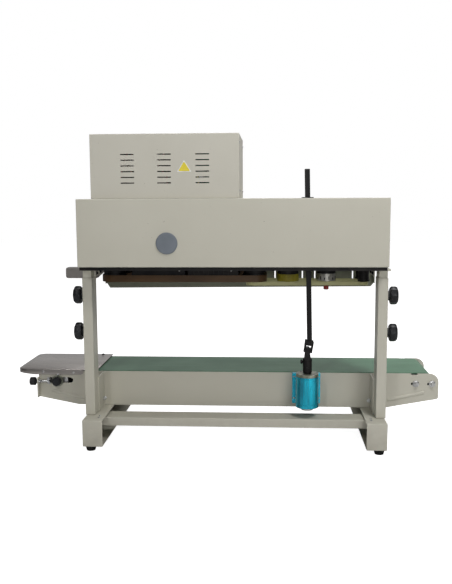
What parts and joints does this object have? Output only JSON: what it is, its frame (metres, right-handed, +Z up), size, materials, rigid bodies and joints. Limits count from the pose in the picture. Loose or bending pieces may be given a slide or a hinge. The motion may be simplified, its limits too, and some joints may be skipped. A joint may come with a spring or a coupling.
{
  "type": "continuous band sealer",
  "caption": "Continuous band sealer: a sealing head on height-adjustable posts over a flat belt conveyor, with belts, wheels and a control box.",
  "frame": {"origin": "middle of the footprint, on the floor", "axes": "+X along the conveyor in the bags' travel, +Y towards the operator's side, +Z up"},
  "size_m": [0.8846, 0.378, 0.6212],
  "materials": {
    "foot_left": "satin powder coat",
    "foot_right": "satin powder coat",
    "crossbar": "satin powder coat",
    "post_left": "satin powder coat",
    "post_right": "satin powder coat",
    "conveyor_panel_rear": "satin powder coat",
    "conveyor_panel_front": "satin powder coat",
    "case_cover": "satin powder coat",
    "conveyor_bed": "satin powder coat",
    "control_box": "satin powder coat",
    "inner_post_left": "satin powder coat",
    "inner_post_right": "satin powder coat",
    "front_guard": "satin powder coat",
    "pad_left_rear": "matt",
    "pad_left_front": "matt",
    "pad_right_rear": "matt",
    "pad_right_front": "matt",
    "clamp_knob_left_lower": "moulded",
    "clamp_knob_left_upper": "moulded",
    "clamp_knob_right_lower": "moulded",
    "clamp_knob_right_upper": "moulded",
    "axle_lock_knob": "moulded",
    "speed_knob": "moulded",
    "temperature_controller": "moulded",
    "conveyor_belt": "satin belt",
    "entry_roller": "machined",
    "exit_roller": "machined",
    "drive_roller": "machined",
    "gearbox_cover": "machined",
    "drive_sleeve": "machined",
    "entry_table": "brushed sheet",
    "entry_guide": "brushed sheet",
    "gearbox_body": "blue anodised",
    "tension_screw": "blackened steel",
    "drive_coupling": "blackened steel",
    "joint_link": "blackened steel",
    "drive_shaft": "blackened steel",
    "base_plate": "blackened steel",
    "heating_block_rear": "blackened steel",
    "heating_block_front": "blackened steel",
    "cooling_block_rear": "blackened steel",
    "cooling_block_front": "blackened steel",
    "drive_motor": "blackened steel",
    "seal_wheel_entry_rear": "blackened steel",
    "seal_wheel_entry_front": "blackened steel",
    "seal_wheel_exit_rear": "blackened steel",
    "seal_wheel_exit_front": "blackened steel",
    "exit_pulley_rear": "blackened steel",
    "exit_pulley_front": "blackened steel",
    "press_wheel_rear": "silicone rubber",
    "press_wheel_front": "silicone rubber",
    "coding_wheel_rear": "machined",
    "coding_wheel_front": "machined",
    "seal_belt_rear": "coated glass cloth",
    "seal_belt_front": "coated glass cloth",
    "guide_belt_rear": "satin belt",
    "guide_belt_front": "satin belt",
    "cover_plug": "moulded",
    "power_switch": "moulded",
    "pressure_knob": "moulded"
  },
  "bodies": {
    "base": {"foot_left": "foot_left", "foot_right": "foot_right", "pad_left_rear": "pad_left_rear", "pad_left_front": "pad_left_front", "pad_right_rear": "pad_right_rear", "pad_right_front": "pad_right_front", "crossbar": "crossbar", "post_left": "post_left", "post_right": "post_right", "conveyor_panel_rear": "conveyor_panel_rear", "conveyor_panel_front": "conveyor_panel_front", "conveyor_bed": "conveyor_bed", "conveyor_belt": "conveyor_belt", "entry_table": "entry_table", "gearbox_body": "gearbox_body", "gearbox_cover": "gearbox_cover"},
    "head": {"inner_post_left": "inner_post_left", "inner_post_right": "inner_post_right", "base_plate": "base_plate", "case_cover": "case_cover", "cover_plug": "cover_plug", "control_box": "control_box", "temperature_controller": "temperature_controller", "drive_motor": "drive_motor", "heating_block_rear": "heating_block_rear", "heating_block_front": "heating_block_front", "cooling_block_rear": "cooling_block_rear", "cooling_block_front": "cooling_block_front", "seal_belt_rear": "seal_belt_rear", "seal_belt_front": "seal_belt_front", "guide_belt_rear": "guide_belt_rear", "guide_belt_front": "guide_belt_front", "front_guard": "front_guard", "entry_guide": "entry_guide"},
    "clamp_knob_left_lower": {"clamp_knob_left_lower": "clamp_knob_left_lower"},
    "clamp_knob_left_upper": {"clamp_knob_left_upper": "clamp_knob_left_upper"},
    "clamp_knob_right_lower": {"clamp_knob_right_lower": "clamp_knob_right_lower"},
    "clamp_knob_right_upper": {"clamp_knob_right_upper": "clamp_knob_right_upper"},
    "axle_lock_knob": {"axle_lock_knob": "axle_lock_knob"},
    "speed_knob": {"speed_knob": "speed_knob"},
    "entry_roller": {"entry_roller": "entry_roller"},
    "exit_roller": {"exit_roller": "exit_roller"},
    "drive_roller": {"drive_roller": "drive_roller"},
    "drive_sleeve": {"drive_sleeve": "drive_sleeve"},
    "tension_screw": {"tension_screw": "tension_screw"},
    "drive_coupling": {"drive_coupling": "drive_coupling"},
    "joint_link": {"joint_link": "joint_link"},
    "drive_shaft": {"drive_shaft": "drive_shaft"},
    "seal_wheel_entry_rear": {"seal_wheel_entry_rear": "seal_wheel_entry_rear"},
    "seal_wheel_entry_front": {"seal_wheel_entry_front": "seal_wheel_entry_front"},
    "seal_wheel_exit_rear": {"seal_wheel_exit_rear": "seal_wheel_exit_rear"},
    "seal_wheel_exit_front": {"seal_wheel_exit_front": "seal_wheel_exit_front"},
    "exit_pulley_rear": {"exit_pulley_rear": "exit_pulley_rear"},
    "exit_pulley_front": {"exit_pulley_front": "exit_pulley_front"},
    "press_wheel_rear": {"press_wheel_rear": "press_wheel_rear"},
    "press_wheel_front": {"press_wheel_front": "press_wheel_front"},
    "coding_wheel_rear": {"coding_wheel_rear": "coding_wheel_rear"},
    "coding_wheel_front": {"coding_wheel_front": "coding_wheel_front"},
    "power_switch": {"power_switch": "power_switch"},
    "pressure_knob": {"pressure_knob": "pressure_knob"}
  },
  "joints": [
    {"name": "head_lift", "type": "slide", "parent": "base", "child": "head", "axis": [0, 0, 1], "range_m": [0, 0.05]},
    {"name": "clamp_left_lower_turn", "type": "hinge", "parent": "base", "child": "clamp_knob_left_lower", "pos_m": [-0.27875, -0.1215, 0.234], "axis": [-1, 0, 0], "range_deg": [0, 720]},
    {"name": "clamp_left_upper_turn", "type": "hinge", "parent": "base", "child": "clamp_knob_left_upper", "pos_m": [-0.27875, -0.1215, 0.308], "axis": [-1, 0, 0], "range_deg": [0, 720]},
    {"name": "clamp_right_lower_turn", "type": "hinge", "parent": "base", "child": "clamp_knob_right_lower", "pos_m": [0.32325, -0.1215, 0.234], "axis": [1, 0, 0], "range_deg": [0, 720]},
    {"name": "clamp_right_upper_turn", "type": "hinge", "parent": "base", "child": "clamp_knob_right_upper", "pos_m": [0.32325, -0.1215, 0.308], "axis": [1, 0, 0], "range_deg": [0, 720]},
    {"name": "conveyor_drive", "type": "hinge", "parent": "base", "child": "drive_roller", "pos_m": [0.16935, 0.01485, 0.107], "axis": [0, 1, 0], "continuous": true},
    {"name": "entry_roller_turn", "type": "hinge", "parent": "base", "child": "entry_roller", "pos_m": [-0.35705, 0.01485, 0.1159], "axis": [0, 1, 0], "continuous": true},
    {"name": "exit_roller_turn", "type": "hinge", "parent": "base", "child": "exit_roller", "pos_m": [0.41235, 0.01485, 0.1159], "axis": [0, 1, 0], "continuous": true},
    {"name": "drive_coupling_turn", "type": "hinge", "parent": "base", "child": "drive_coupling", "pos_m": [0.16935, -0.112, 0.16], "axis": [0, 0, 1], "continuous": true},
    {"name": "joint_link_turn", "type": "hinge", "parent": "base", "child": "joint_link", "pos_m": [0.17155, -0.112, 0.2035], "axis": [0.1478, 0, 0.989], "continuous": true},
    {"name": "drive_shaft_turn", "type": "hinge", "parent": "base", "child": "drive_shaft", "pos_m": [0.17345, -0.112, 0.2077], "axis": [-0.0213, 0, 0.9998], "continuous": true},
    {"name": "drive_sleeve_turn", "type": "hinge", "parent": "head", "child": "drive_sleeve", "pos_m": [0.16995, -0.112, 0.372], "axis": [-0.0213, 0, 0.9998], "continuous": true},
    {"name": "seal_wheel_entry_rear_turn", "type": "hinge", "parent": "head", "child": "seal_wheel_entry_rear", "pos_m": [-0.23385, -0.0381, 0.34], "axis": [0, 0, 1], "continuous": true},
    {"name": "seal_wheel_exit_rear_turn", "type": "hinge", "parent": "head", "child": "seal_wheel_exit_rear", "pos_m": [0.06135, -0.0381, 0.34], "axis": [0, 0, 1], "continuous": true},
    {"name": "press_wheel_rear_turn", "type": "hinge", "parent": "head", "child": "press_wheel_rear", "pos_m": [0.13105, -0.0353, 0.34], "axis": [0, 0, 1], "continuous": true},
    {"name": "coding_wheel_rear_turn", "type": "hinge", "parent": "head", "child": "coding_wheel_rear", "pos_m": [0.21075, -0.0325, 0.34], "axis": [0, 0, 1], "continuous": true},
    {"name": "exit_pulley_rear_turn", "type": "hinge", "parent": "head", "child": "exit_pulley_rear", "pos_m": [0.28785, -0.0381, 0.34], "axis": [0, 0, 1], "continuous": true},
    {"name": "seal_wheel_entry_front_turn", "type": "hinge", "parent": "head", "child": "seal_wheel_entry_front", "pos_m": [-0.23385, 0.0141, 0.34], "axis": [0, 0, 1], "continuous": true},
    {"name": "seal_wheel_exit_front_turn", "type": "hinge", "parent": "head", "child": "seal_wheel_exit_front", "pos_m": [0.06135, 0.0141, 0.34], "axis": [0, 0, 1], "continuous": true},
    {"name": "press_wheel_front_turn", "type": "hinge", "parent": "head", "child": "press_wheel_front", "pos_m": [0.13105, 0.0113, 0.34], "axis": [0, 0, 1], "continuous": true},
    {"name": "coding_wheel_front_turn", "type": "hinge", "parent": "head", "child": "coding_wheel_front", "pos_m": [0.21075, 0.0085, 0.34], "axis": [0, 0, 1], "continuous": true},
    {"name": "exit_pulley_front_turn", "type": "hinge", "parent": "head", "child": "exit_pulley_front", "pos_m": [0.28785, 0.0141, 0.34], "axis": [0, 0, 1], "continuous": true},
    {"name": "tension_screw_turn", "type": "hinge", "parent": "base", "child": "tension_screw", "pos_m": [-0.39755, -0.0696, 0.1163], "axis": [-1, 0, 0], "range_deg": [-360, 720]},
    {"name": "axle_lock_turn", "type": "hinge", "parent": "base", "child": "axle_lock_knob", "pos_m": [-0.35705, -0.0621, 0.1159], "axis": [0, -1, 0], "range_deg": [0, 360]},
    {"name": "speed_turn", "type": "hinge", "parent": "head", "child": "speed_knob", "pos_m": [-0.10395, 0.0105, 0.568], "axis": [0, -1, 0], "range_deg": [0, 270]},
    {"name": "power_switch_tip", "type": "hinge", "parent": "head", "child": "power_switch", "pos_m": [-0.04795, 0.0105, 0.565], "axis": [1, 0, 0], "range_deg": [-12, 12]},
    {"name": "pressure_turn", "type": "hinge", "parent": "head", "child": "pressure_knob", "pos_m": [0.21605, 0.0395, 0.33], "axis": [0, 0, -1], "range_deg": [-180, 180]}
  ],
  "couplings": [
    {"joint": "entry_roller_turn", "follows": "conveyor_drive", "ratio": 1},
    {"joint": "exit_roller_turn", "follows": "conveyor_drive", "ratio": 1},
    {"joint": "drive_coupling_turn", "follows": "conveyor_drive", "ratio": 4},
    {"joint": "joint_link_turn", "follows": "conveyor_drive", "ratio": 4},
    {"joint": "drive_shaft_turn", "follows": "conveyor_drive", "ratio": 4},
    {"joint": "drive_sleeve_turn", "follows": "conveyor_drive", "ratio": 4},
    {"joint": "seal_wheel_entry_rear_turn", "follows": "conveyor_drive", "ratio": -0.8488},
    {"joint": "seal_wheel_exit_rear_turn", "follows": "conveyor_drive", "ratio": -0.8488},
    {"joint": "press_wheel_rear_turn", "follows": "conveyor_drive", "ratio": -0.9605},
    {"joint": "coding_wheel_rear_turn", "follows": "conveyor_drive", "ratio": -1.095},
    {"joint": "exit_pulley_rear_turn", "follows": "conveyor_drive", "ratio": -1.825},
    {"joint": "seal_wheel_entry_front_turn", "follows": "conveyor_drive", "ratio": 0.8488},
    {"joint": "seal_wheel_exit_front_turn", "follows": "conveyor_drive", "ratio": 0.8488},
    {"joint": "press_wheel_front_turn", "follows": "conveyor_drive", "ratio": 0.9605},
    {"joint": "coding_wheel_front_turn", "follows": "conveyor_drive", "ratio": 1.095},
    {"joint": "exit_pulley_front_turn", "follows": "conveyor_drive", "ratio": 1.825}
  ]
}
